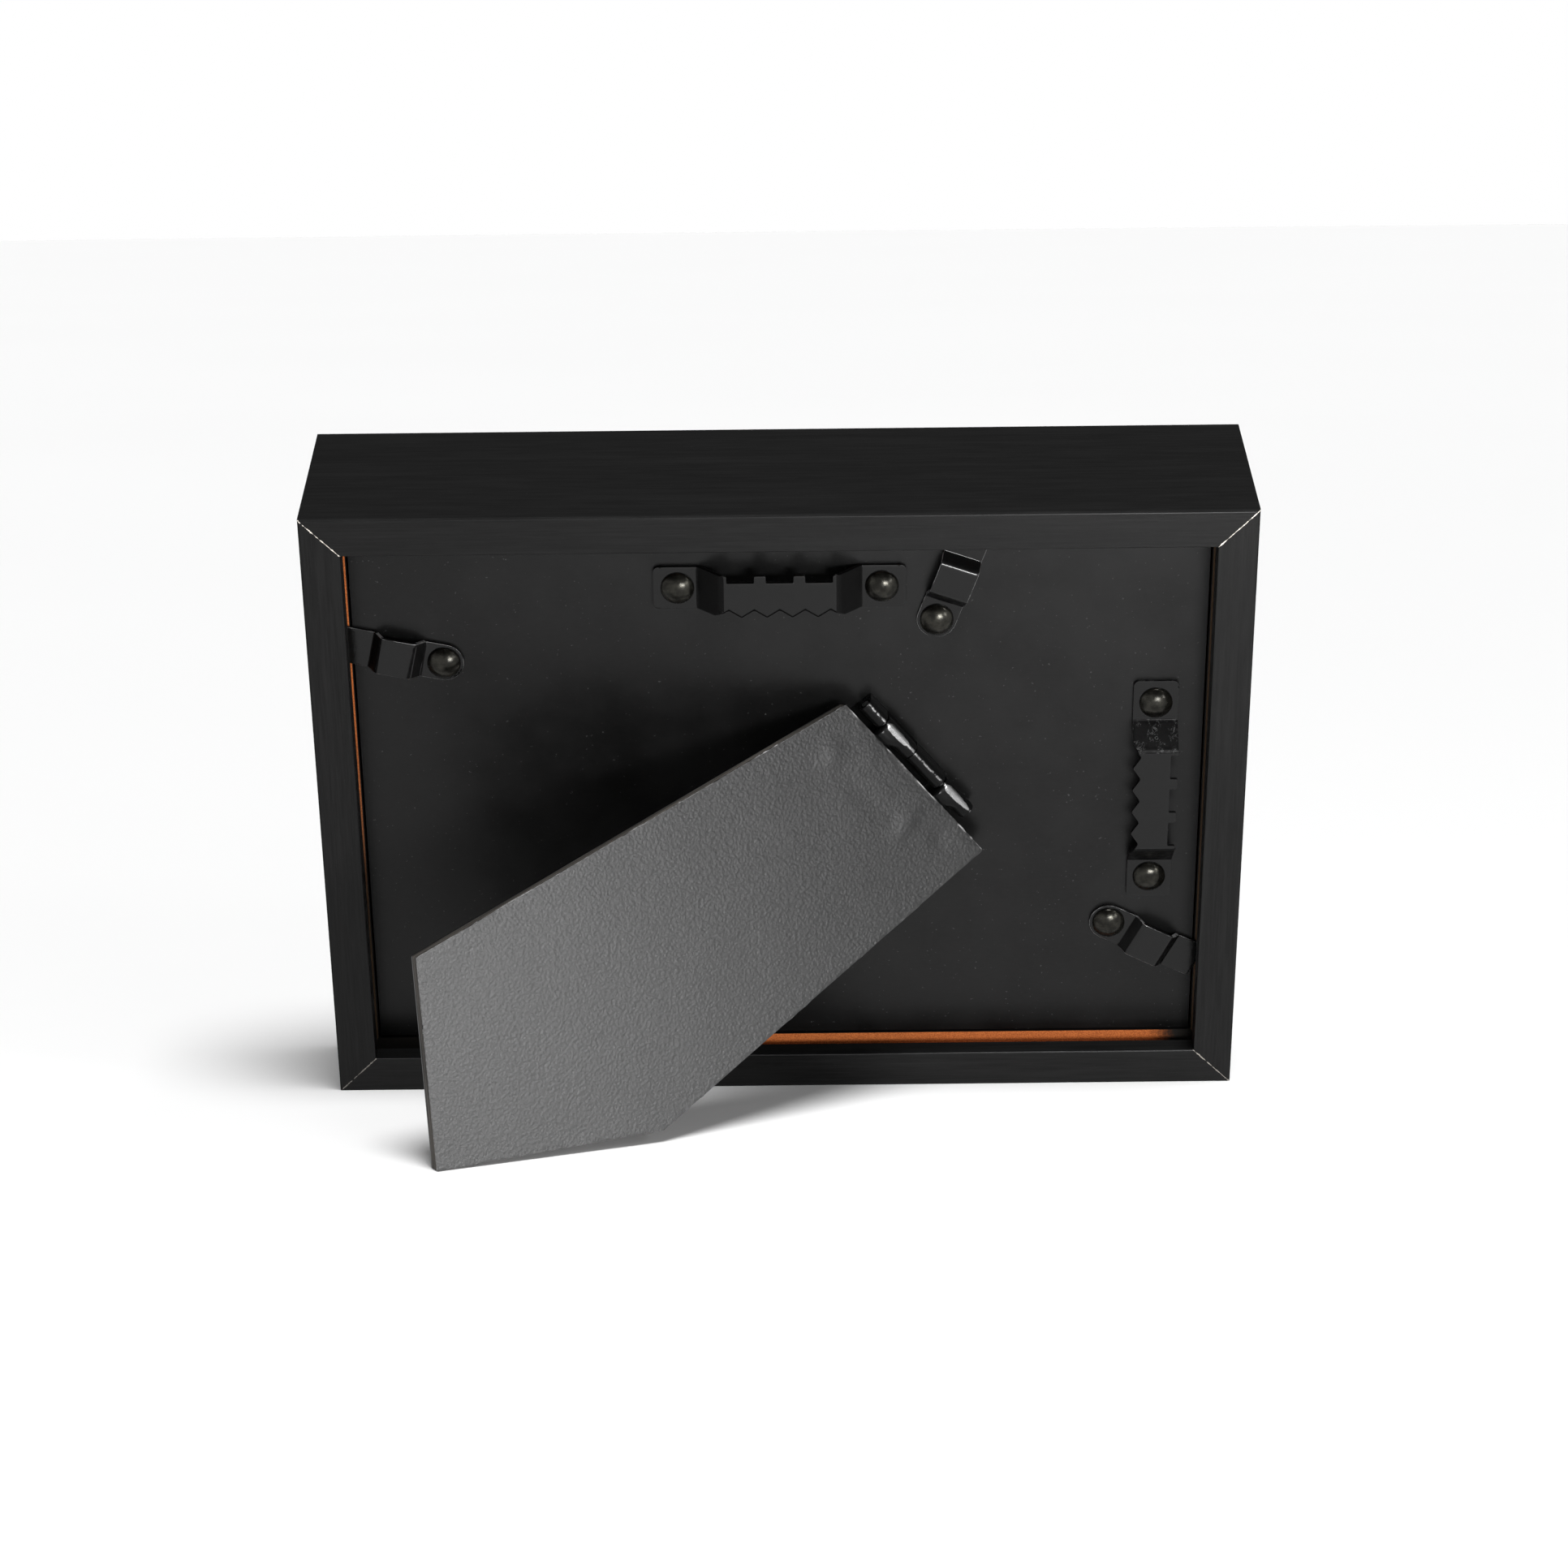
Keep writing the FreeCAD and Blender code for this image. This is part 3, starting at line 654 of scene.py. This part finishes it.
def painted_edge_highlight_look():
    """Bright steel painted on a stamped corner as a highlight, broken by black paint left over it.
    """
    look = Look("painted_edge_highlight")
    flat = look.space(FLAT)
    left = look.noise(flat, 0.35, 4.0, 0.65)
    bright_steel_highlight = look.span(left, 0.40, 0.58)
    # painted highlight along the bevelled edge
    look.set("Base Color", look.mix(bright_steel_highlight, grey(0.004), grey(0.42)))
    look.set("Metallic", bright_steel_highlight)
    look.set("Roughness", look.span(left, 0.3, 0.7, 0.3, 0.4))
    return look.material


def steel_look():
    """Plain drawn steel of the pin and the flush rivets."""
    look = Look("pin_steel", Metallic=1.0)
    flat = look.space(FLAT)
    mark = look.noise(look.stretch(flat, (0.4, 2.0, 1.0)), 2.0, 6.0, 0.7)
    look.set("Base Color", look.mix(look.span(mark, 0.35, 0.7), grey(0.12), grey(0.32)))
    look.set("Roughness", look.span(mark, 0.3, 0.7, 0.25, 0.45))
    return look.material


def print_look():
    """Blank photographic paper with a soft warm tone."""
    look = Look("print_paper", Specular_IOR_Level=0.4)
    flat = look.space(FLAT)
    cloud = look.noise(flat, 0.02, 2.0)
    tooth = look.noise(flat, 4.0, 4.0)
    look.set("Base Color", look.mix(cloud, (0.70, 0.69, 0.66, 1), (0.78, 0.77, 0.75, 1)))
    look.set("Roughness", look.span(tooth, 0.3, 0.7, 0.35, 0.45))
    look.set("Normal", look.bump(tooth, 0.05, 0.05))
    return look.material


def pane_look():
    """Clear plastic with a faint surface ripple."""
    look = Look("clear_pane", Transmission_Weight=1.0, IOR=1.49)
    flat = look.space(FLAT)
    ripple = look.noise(flat, 0.05, 2.0)
    look.set("Base Color", look.mix(ripple, (0.97, 0.985, 0.98, 1), (0.99, 0.995, 0.99, 1)))
    look.set("Roughness", look.span(look.noise(flat, 0.6, 3.0), 0.3, 0.7, 0.0, 0.03))
    look.set("Normal", look.bump(ripple, 0.02, 0.2))
    return look.material


def paint(names, material):
    """Give CAD nodes a material, keeping their meshes as they are."""
    for name in names:
        node = frame["nodes"][name]
        node.data.materials.clear()
        node.data.materials.append(material)


along_u = rail_look("rail_along_u", "u")
along_v = rail_look("rail_along_v", "v")
black_paper = facing_look("black_paper", 0.0026)
enamel = enamel_look("black_enamel", 0.0035, 0.12, 0.24)
teeth_shadow_enamel = enamel_look("teeth_shadow_enamel", 0.0035, 0.12, 0.24, teeth_shadow=True)
# darker, duller copy of the enamel for slopes and cut edges, as painted shade
slope_shade_enamel = enamel_look("slope_shade_enamel", 0.0025, 0.30, 0.05, painted_speckle=True)
hinge_enamel = hinge_painted_highlight_look()
painted_edge_highlight = painted_edge_highlight_look()
leatherette = leatherette_look()
paint(["rail_top", "rail_bottom"], along_u)
paint(["rail_left", "rail_right"], along_v)
paint(["spacer_top", "spacer_bottom", "spacer_left", "spacer_right"],
      facing_look("black_spacer", 0.012))
paint(["backboard_facing", "leg_inner_paper"], black_paper)
paint(["backboard"], plain_wood_look("fibreboard", (0.18, 0.09, 0.04, 1), (0.36, 0.20, 0.10, 1)))
paint(["leg_core"], leg_board_look())
paint(["photo_print"], print_look())
paint(["glazing_pane"], pane_look())
paint(["hinge_pin", "hinge_board_rivets", "hinge_leg_rivets"], steel_look())


# ---- hardware ----------------------------------------------------------------------------
def finish_piece(piece, material, slot, *nodes):
    """Give a piece its material, and hide the CAD nodes it stands for."""
    piece.data.materials.append(material)
    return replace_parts(piece, *nodes)


def paint_slope_shade(piece, place, limit, corners=None):
    """Painted shade: a strip's slopes and cut edges get a darker, duller copy of its paint than
    its flats, and its bevelled edges may get bright steel as a painted highlight."""
    up = place.to_3x3().col[2].normalized()
    piece.data.materials.append(slope_shade_enamel)
    if corners:
        piece.data.materials.append(corners)
    piece.modifiers["edge"].material = 2 if corners else 1
    for face in piece.data.polygons:
        face.material_index = int(abs(face.normal.dot(up)) < limit)
    piece.modifiers["thickness"].material_offset_rim = 1


def hanger_outline():
    """Teeth along one long side, three notches along the other."""
    half_l, half_w = HANGER_L / 2, HANGER_W / 2
    corners, radii = [(-half_l, -half_w)], [1.0]
    for i in range(TEETH):
        valley = (i - (TEETH - 1) / 2) * TOOTH_PITCH
        corners += [(valley - TOOTH_PITCH / 2, -half_w), (valley, TOOTH_DEPTH - half_w)]
        radii += [0.35, 0.5]
    corners += [(TEETH / 2 * TOOTH_PITCH, -half_w), (half_l, -half_w), (half_l, half_w)]
    radii += [0.35, 1.0, 1.0]
    for i in (1, 0, -1):
        centre = i * (NOTCH_W + NOTCH_GAP)
        for side, height in ((1, 0), (1, 1), (-1, 1), (-1, 0)):
            corners.append((centre + side * NOTCH_W / 2, half_w - height * NOTCH_DEPTH))
            radii.append(0.25)
    corners.append((-half_l, half_w))
    radii.append(1.0)
    return rounded(corners, radii, 0.3)


def hangers():
    """Sawtooth hangers: two pads, two slopes and a raised bar, pressed from one strip."""
    pad_x = HANGER_L / 2 - HANGER_PAD
    bar_x = pad_x - HANGER_RUN
    low = HANGER_T / 2
    high = low + HANGER_LIFT
    far = HANGER_L
    knots = [(-far, low), (-pad_x, low), (-bar_x, high), (bar_x, high), (pad_x, low), (far, low)]
    holes = [(side * HANGER_RIVETS / 2, 0.0, SHANK_R) for side in (-1, 1)]
    for name, (u, v, degrees) in HANGERS.items():
        place = on_board(u, v, degrees)
        piece = pressed_sheet(
            name + "_pressed", hanger_outline(), holes, lambda x, y: folded(x, knots, 0.35),
            HANGER_T, place, "frame", (0.28, 0.7), 0.18,
        )
        metal = teeth_shadow_enamel if name == "hanger_landscape" else enamel
        finish_piece(piece, metal, "black_metal", name)
        paint_slope_shade(piece, place, HANGER_FLAT_COSINE)


def turn_buttons():
    """Turn buttons: a round eye, a hump for the finger and a tip that lies on the board."""
    half_w = BUTTON_W / 2
    low = PLAY + BUTTON_T / 2
    high = low + BUTTON_LIFT
    up_start, up_end, down_start, down_end = BUTTON_FOLDS
    knots = [(-BUTTON_END, low), (up_start, low), (up_end, high), (down_start, high),
             (down_end, low), (BUTTON_TIP + BUTTON_END, low)]
    corners = [(-half_w, -half_w), (BUTTON_TIP, -half_w), (BUTTON_TIP, half_w), (-half_w, half_w)]
    outline = rounded(corners, [half_w * 0.999, 0.6, 0.6, half_w * 0.999], 0.3)
    for name, (u, v, degrees) in BUTTONS.items():
        place = on_board(u, v, degrees)
        piece = pressed_sheet(
            name + "_pressed", outline, [(0.0, 0.0, SHANK_R + PLAY)],
            lambda x, y: folded(x, knots, 0.28), BUTTON_T, place, name, (0.28, 0.7), 0.14,
        )
        finish_piece(piece, enamel, "black_metal", name)
        paint_slope_shade(piece, place, BUTTON_FLAT_COSINE, painted_edge_highlight)


def rivets():
    """Domed heads with their shanks and flush tails."""
    crown_h = DOME_H - DOME_RIM
    crown_r = (DOME_R ** 2 + crown_h ** 2) / (2 * crown_h)
    reach = math.asin(DOME_R / crown_r)
    profile = [(0.0, -BOARD_T), (TAIL_R, -BOARD_T), (TAIL_R, TAIL_T - BOARD_T),
               (SHANK_R, TAIL_T - BOARD_T), (SHANK_R, HANGER_T),
               (DOME_R - RIM_EASE, HANGER_T), (DOME_R, HANGER_T + 0.8 * RIM_EASE)]
    for k in range(DOME_STEPS + 1):
        angle = reach * (1 - k / DOME_STEPS)
        drop = crown_r * (1 - math.cos(angle))
        profile.append((crown_r * math.sin(angle), HANGER_T + DOME_H - drop))
    places = []
    for u, v, degrees in HANGERS.values():
        for side in (-1, 1):
            shift = Matrix.Translation((side * HANGER_RIVETS / 2, 0, 0))
            places.append(on_board(u, v, degrees) @ shift)
    metal = rivet_look()
    heads = lathe("hanger_rivets_domed", profile, places, "frame")
    finish_piece(heads, metal, "rivet_metal", "hanger_rivets")
    places = [on_board(u, v, 0.0) for u, v, _ in BUTTONS.values()]
    heads = lathe("turn_button_rivets_domed", profile, places, "frame")
    finish_piece(heads, metal, "rivet_metal", "turn_button_rivets")


def smooth(value):
    """Smooth step from 0 to 1."""
    value = min(1.0, max(0.0, value))
    return value * value * (3 - 2 * value)


LEG_DENTS = (  # x, y, width across, width down, height; a negative height is a hollow
    (-7.0, 10.2, 1.7, 3.2, 0.34),
    (13.4, 11.0, 2.0, 2.4, 0.30),
    (7.4, 6.6, 1.8, 1.8, 0.12),
    (-14.2, 7.6, 2.4, 2.0, -0.16),
    (3.5, 12.5, 5.0, 1.6, -0.08),
)


def leg_paper():
    """Embossed outer paper: it swells softly over the hinge leaf and its rivets."""
    outline = rounded(list(LEG_OUTLINE), [LEG_CORNER_R] * len(LEG_OUTLINE), 0.8)

    def swell(x, y):
        across = smooth((0.47 * HINGE_L - abs(x)) / 2.5)
        leaf = 0.08 * across * smooth((LEAF_IN + 1.0 - y) / 3.0)
        dents = sum(
            height * math.exp(-((x - x0) / wide) ** 2 - ((y - y0) / tall) ** 2)
            for x0, y0, wide, tall, height in LEG_DENTS
        )
        ripple = 0.06 * noise.noise(Vector((x * 0.09, y * 0.09, 0.0)))
        edge = smooth((y - LEG_EDGE) / 2.0)
        return LEG_RISE - LEG_PAPER / 2 + (leaf + dents) * edge + ripple

    piece = pressed_sheet(
        "leg_outer_leatherette", outline, [], swell, LEG_PAPER, LEG, "easel_leg", (0.8, 0.8), 0.08
    )
    finish_piece(piece, leatherette, "leatherette", "leg_outer_paper")
    piece.data.materials.append(cut_edge_and_highlight_look())
    piece.modifiers["thickness"].material_offset_rim = 1


# ---- easel hinge -------------------------------------------------------------------------
FLARE_RUN = 3.2  # over which a knuckle's swelling dies away past its neck
RIB_H = 0.1
RIB_END = 0.8
SLEEVE_SIDES = 120
SLEEVE_STEP = 0.2
WEB_DEGREES = (180, 240, 275)  # round a board knuckle: web starts, starts to blend, is gone
HOLLOW_END = 0.32


def sleeve(span, outside, bore):
    """Tube along the hinge axis; outside and bore give its radii at a station and an angle."""
    x0, x1 = HINGE_L * (0.5 - span[1]), HINGE_L * (0.5 - span[0])
    cuts = math.ceil((x1 - x0) / SLEEVE_STEP)
    stations = [x0 + (x1 - x0) * k / cuts for k in range(cuts + 1)]
    rings = [(x, outside) for x in stations] + [(x, bore) for x in reversed(stations)]
    points, faces = [], []
    for x, radius in rings:
        for k in range(SLEEVE_SIDES):
            angle = math.tau * k / SLEEVE_SIDES
            reach = radius(x, angle)
            points.append((x, reach * math.cos(angle), reach * math.sin(angle)))
    for ring in range(len(rings)):
        here, there = ring * SLEEVE_SIDES, (ring + 1) % len(rings) * SLEEVE_SIDES
        for k in range(SLEEVE_SIDES):
            after = (k + 1) % SLEEVE_SIDES
            faces.append((here + k, there + k, there + after, here + after))
    return points, faces


def leg_knuckle(span):
    """Knuckle curled from the leg's leaf, swelling where it flares into its narrow neck."""
    inner, outer = HINGE_L * (0.5 - span[1]), HINGE_L * (0.5 - span[0])
    low = LEAF_T + LEG_PAPER - LEG_RISE

    def outside(x, angle):
        flare = smooth((outer - x) / 0.3) * smooth(1.0 - (outer - NECK_W - x) / FLARE_RUN)
        rib = RIB_H * smooth((x - inner) / RIB_END) * smooth((outer - x) / RIB_END)
        top = TAB_R - RIB_H + rib
        across, up = math.cos(angle), math.sin(angle)
        if across <= 0:
            return top
        reach = top + (LEG_EDGE - 0.05 - top) * flare
        if up >= 0:
            power = 2 + 1.4 * flare
            return ((across / reach) ** power + (up / top) ** power) ** (-1 / power)
        return max(top, min(reach / across, low / -up)) if flare > 0 else top

    return sleeve(span, outside, lambda x, angle: PIN_R + PLAY)


def board_knuckle(span, open_end):
    """Knuckle curled up from the board's leaf, with a hollow end where it is the last one."""
    outer = HINGE_L * (0.5 - span[0])
    web_start, blend_start, web_end = WEB_DEGREES

    def outside(x, angle):
        degrees = math.degrees(angle) % 360
        if web_start < degrees <= blend_start:
            return min(KNUCKLE_R / -math.cos(angle), HINGE_LIFT / -math.sin(angle))
        if blend_start < degrees < web_end:
            web = HINGE_LIFT / -math.sin(angle)
            return web + (KNUCKLE_R - web) * smooth((degrees - 250) / 25)
        return KNUCKLE_R

    def bore(x, angle):
        hollow = HOLLOW_END * smooth((x - outer + 1.4) / 0.4) if open_end else 0.0
        return PIN_R + 0.01 + hollow

    return sleeve(span, outside, bore)


def plate(x0, x1, y0, y1, low, high):
    """Closed box, for the neck of strip between the leg's leaf and a knuckle."""
    points = [(x, y, z) for x in (x0, x1) for y in (y0, y1) for z in (low, high)]
    faces = [(0, 1, 3, 2), (4, 6, 7, 5), (0, 4, 5, 1), (2, 3, 7, 6), (0, 2, 6, 4), (1, 5, 7, 3)]
    return points, faces


def joined(parts):
    """Points and faces of several parts as one list of each."""
    points, faces = [], []
    for more, more_faces in parts:
        shift = len(points)
        points += more
        faces += [tuple(i + shift for i in face) for face in more_faces]
    return points, faces


def drilled_flange(x0, x1, y0, y1, low, high):
    """Flat leaf with its two rivet holes, as a closed solid."""
    outline = rounded([(x0, y0), (x1, y0), (x1, y1), (x0, y1)], [0.5] * 4, 1.0)
    holes = [(side * HINGE_L / 4, 0.6 * LEAF_IN, LEAF_RIVET_R) for side in (-1, 1)]
    spots, triangles = filled(outline, holes, 2.0, 2.0)
    count = len(spots)
    points = [(p.x, p.y, high) for p in spots] + [(p.x, p.y, low) for p in spots]
    faces = [tuple(t) for t in triangles]
    faces += [tuple(count + i for i in reversed(t)) for t in triangles]
    edges = [edge for a, b, c in triangles for edge in ((a, b), (b, c), (c, a))]
    shared = {(b, a) for a, b in edges}
    faces += [(b, a, count + a, count + b) for a, b in edges if (a, b) not in shared]
    return points, faces


def hinge_leaves():
    """The leg's leaf with its two knuckles, and the backboard's leaf with its two."""
    top = LEG_RISE - LEG_PAPER
    parts = [drilled_flange(-0.45 * HINGE_L, 0.45 * HINGE_L, LEG_EDGE + 0.5, LEAF_IN,
                            top - LEAF_T, top)]
    for span in LEG_KNUCKLES:
        outer = HINGE_L * (0.5 - span[0])
        parts.append(plate(outer - NECK_W, outer, LEG_EDGE - 0.1, LEG_EDGE + 0.6,
                           top - LEAF_T, top))
        parts.append(leg_knuckle(span))
    leaf = new_piece("hinge_leg_leaf_curled", *joined(parts), LEG, "easel_leg")
    finish_piece(crisp(leaf, 0.1), hinge_enamel, "black_metal", "hinge_leg_leaf")
    parts = [drilled_flange(-0.23 * HINGE_L, HINGE_L / 2, -KNUCKLE_R, LEAF_IN,
                            -HINGE_LIFT - LEAF_T, -HINGE_LIFT)]
    for i, span in enumerate(BOARD_KNUCKLES):
        parts.append(board_knuckle(span, i == 0))
    leaf = new_piece("hinge_board_leaf_curled", *joined(parts), BOARD_LEAF, "frame")
    finish_piece(crisp(leaf, 0.1), hinge_enamel, "black_metal", "hinge_board_leaf")


hangers()
turn_buttons()
rivets()
leg_paper()
hinge_leaves()


# ---- studio ------------------------------------------------------------------------------
FLOOR_SIDES = 96
FLOOR_RINGS = (0.1, 0.5, 2.0, 6.0, 14.0)
FLOOR_LEVEL = 0.9
HORIZON = {"From Min": 0.10, "From Max": 0.34, "To Min": 1.0, "To Max": 0.05}
TOP_STRENGTH = 3.5
TOP_SPREAD = 24
TOP_SPOT = (-0.12, 0.43, 0.895)
SOFTBOXES = (  # name, width, height, watts, spot, aim
    ("side_softbox", 0.12, 0.05, 1.20, (-0.13, 0.33, 0.03), (0, 0.02, 0.04)),
    ("key_softbox", 0.07, 0.055, 0.30, (-0.417, 0.356, 0.33), (0, 0.02, 0.05)),
    ("edge_softbox", 0.05, 0.12, 0.36, (-0.44, 0.42, 0.09), (0, 0.02, 0.05)),
)
SENSOR_WIDTH = 36.0
LENS = 89.84
CAMERA_SPOT = (0.41, 355.8, 629.4)  # u, v and w in millimetres
CAMERA_TILT = -29.063
CAMERA_ROLL = -0.617


def stage_look(name, level):
    """Nearly even matt paper."""
    look = Look(name, Specular_IOR_Level=0.1)
    cloud = look.noise(look.add("TexCoord").outputs["Object"], 1.5, 2.0)
    look.set("Base Color", look.mix(cloud, grey(level * 0.995), grey(level)))
    look.set("Roughness", look.span(cloud, 0.3, 0.7, 0.85, 0.95))
    return look.material


def studio_floor():
    """Round pale floor, wide enough to meet the bright horizon."""
    points, faces = [(0.0, 0.0, 0.0)], []
    for radius in FLOOR_RINGS:
        for k in range(FLOOR_SIDES):
            angle = math.tau * k / FLOOR_SIDES
            points.append((radius * math.cos(angle), radius * math.sin(angle), 0.0))
    faces += [(0, 1 + k, 1 + (k + 1) % FLOOR_SIDES) for k in range(FLOOR_SIDES)]
    for ring in range(len(FLOOR_RINGS) - 1):
        first = 1 + ring * FLOOR_SIDES
        for k in range(FLOOR_SIDES):
            a, b = first + k, first + (k + 1) % FLOOR_SIDES
            faces.append((a, a + FLOOR_SIDES, b + FLOOR_SIDES, b))
    mesh = bpy.data.meshes.new("studio_floor")
    mesh.from_pydata(points, [], faces)
    floor = bpy.data.objects.new("studio_floor", mesh)
    bpy.context.scene.collection.objects.link(floor)
    floor.data.materials.append(stage_look("studio_floor", FLOOR_LEVEL))


def studio_world():
    """Dim room with a bright band round the horizon."""
    world = bpy.data.worlds.new("studio")
    world.use_nodes = True
    tree = world.node_tree
    where = tree.nodes.new("ShaderNodeTexCoord")
    parts = tree.nodes.new("ShaderNodeSeparateXYZ")
    fade = tree.nodes.new("ShaderNodeMapRange")
    fade.interpolation_type = "SMOOTHSTEP"
    for key, number in HORIZON.items():
        fade.inputs[key].default_value = number
    tree.links.new(where.outputs["Generated"], parts.inputs["Vector"])
    tree.links.new(parts.outputs["Z"], fade.inputs["Value"])
    background = tree.nodes["Background"]
    background.inputs["Color"].default_value = (1, 1, 1, 1)
    tree.links.new(fade.outputs["Result"], background.inputs["Strength"])
    bpy.context.scene.world = world


def aimed(name, data, spot, aim):
    """A lamp that the camera can't see, set at a spot and turned to its aim."""
    lamp = bpy.data.objects.new(name, data)
    lamp.location = spot
    lamp.rotation_euler = (Vector(aim) - Vector(spot)).to_track_quat("-Z", "Y").to_euler()
    lamp.visible_camera = False
    bpy.context.scene.collection.objects.link(lamp)


def studio_lights():
    """Broad light from high behind the camera, and three small softboxes on its right."""
    top = bpy.data.lights.new("top_light", "SUN")
    top.energy = TOP_STRENGTH
    top.angle = math.radians(TOP_SPREAD)
    aimed("top_light", top, TOP_SPOT, (0, 0, 0))
    for name, width, height, watts, spot, aim in SOFTBOXES:
        box = bpy.data.lights.new(name, "AREA")
        box.shape = "RECTANGLE"
        box.size, box.size_y = width, height
        box.energy = watts
        aimed(name, box, spot, aim)


def photo_camera():
    """Above the frame's rear face and looking down on it, almost level with its edges."""
    data = bpy.data.cameras.new("camera")
    data.sensor_width = SENSOR_WIDTH
    data.lens = LENS
    data.clip_start = 0.01
    camera = bpy.data.objects.new("camera", data)
    spot = FLAT @ Vector(CAMERA_SPOT)
    turn = FLAT.to_3x3().normalized() @ Matrix.Rotation(math.radians(CAMERA_TILT), 3, "X")
    turn = turn @ Matrix.Rotation(math.radians(CAMERA_ROLL), 3, "Z")
    camera.matrix_world = Matrix.Translation(spot) @ turn.to_4x4()
    bpy.context.scene.collection.objects.link(camera)
    bpy.context.scene.camera = camera


studio_floor()
studio_world()
studio_lights()
photo_camera()
bpy.context.scene.view_settings.view_transform = "Standard"
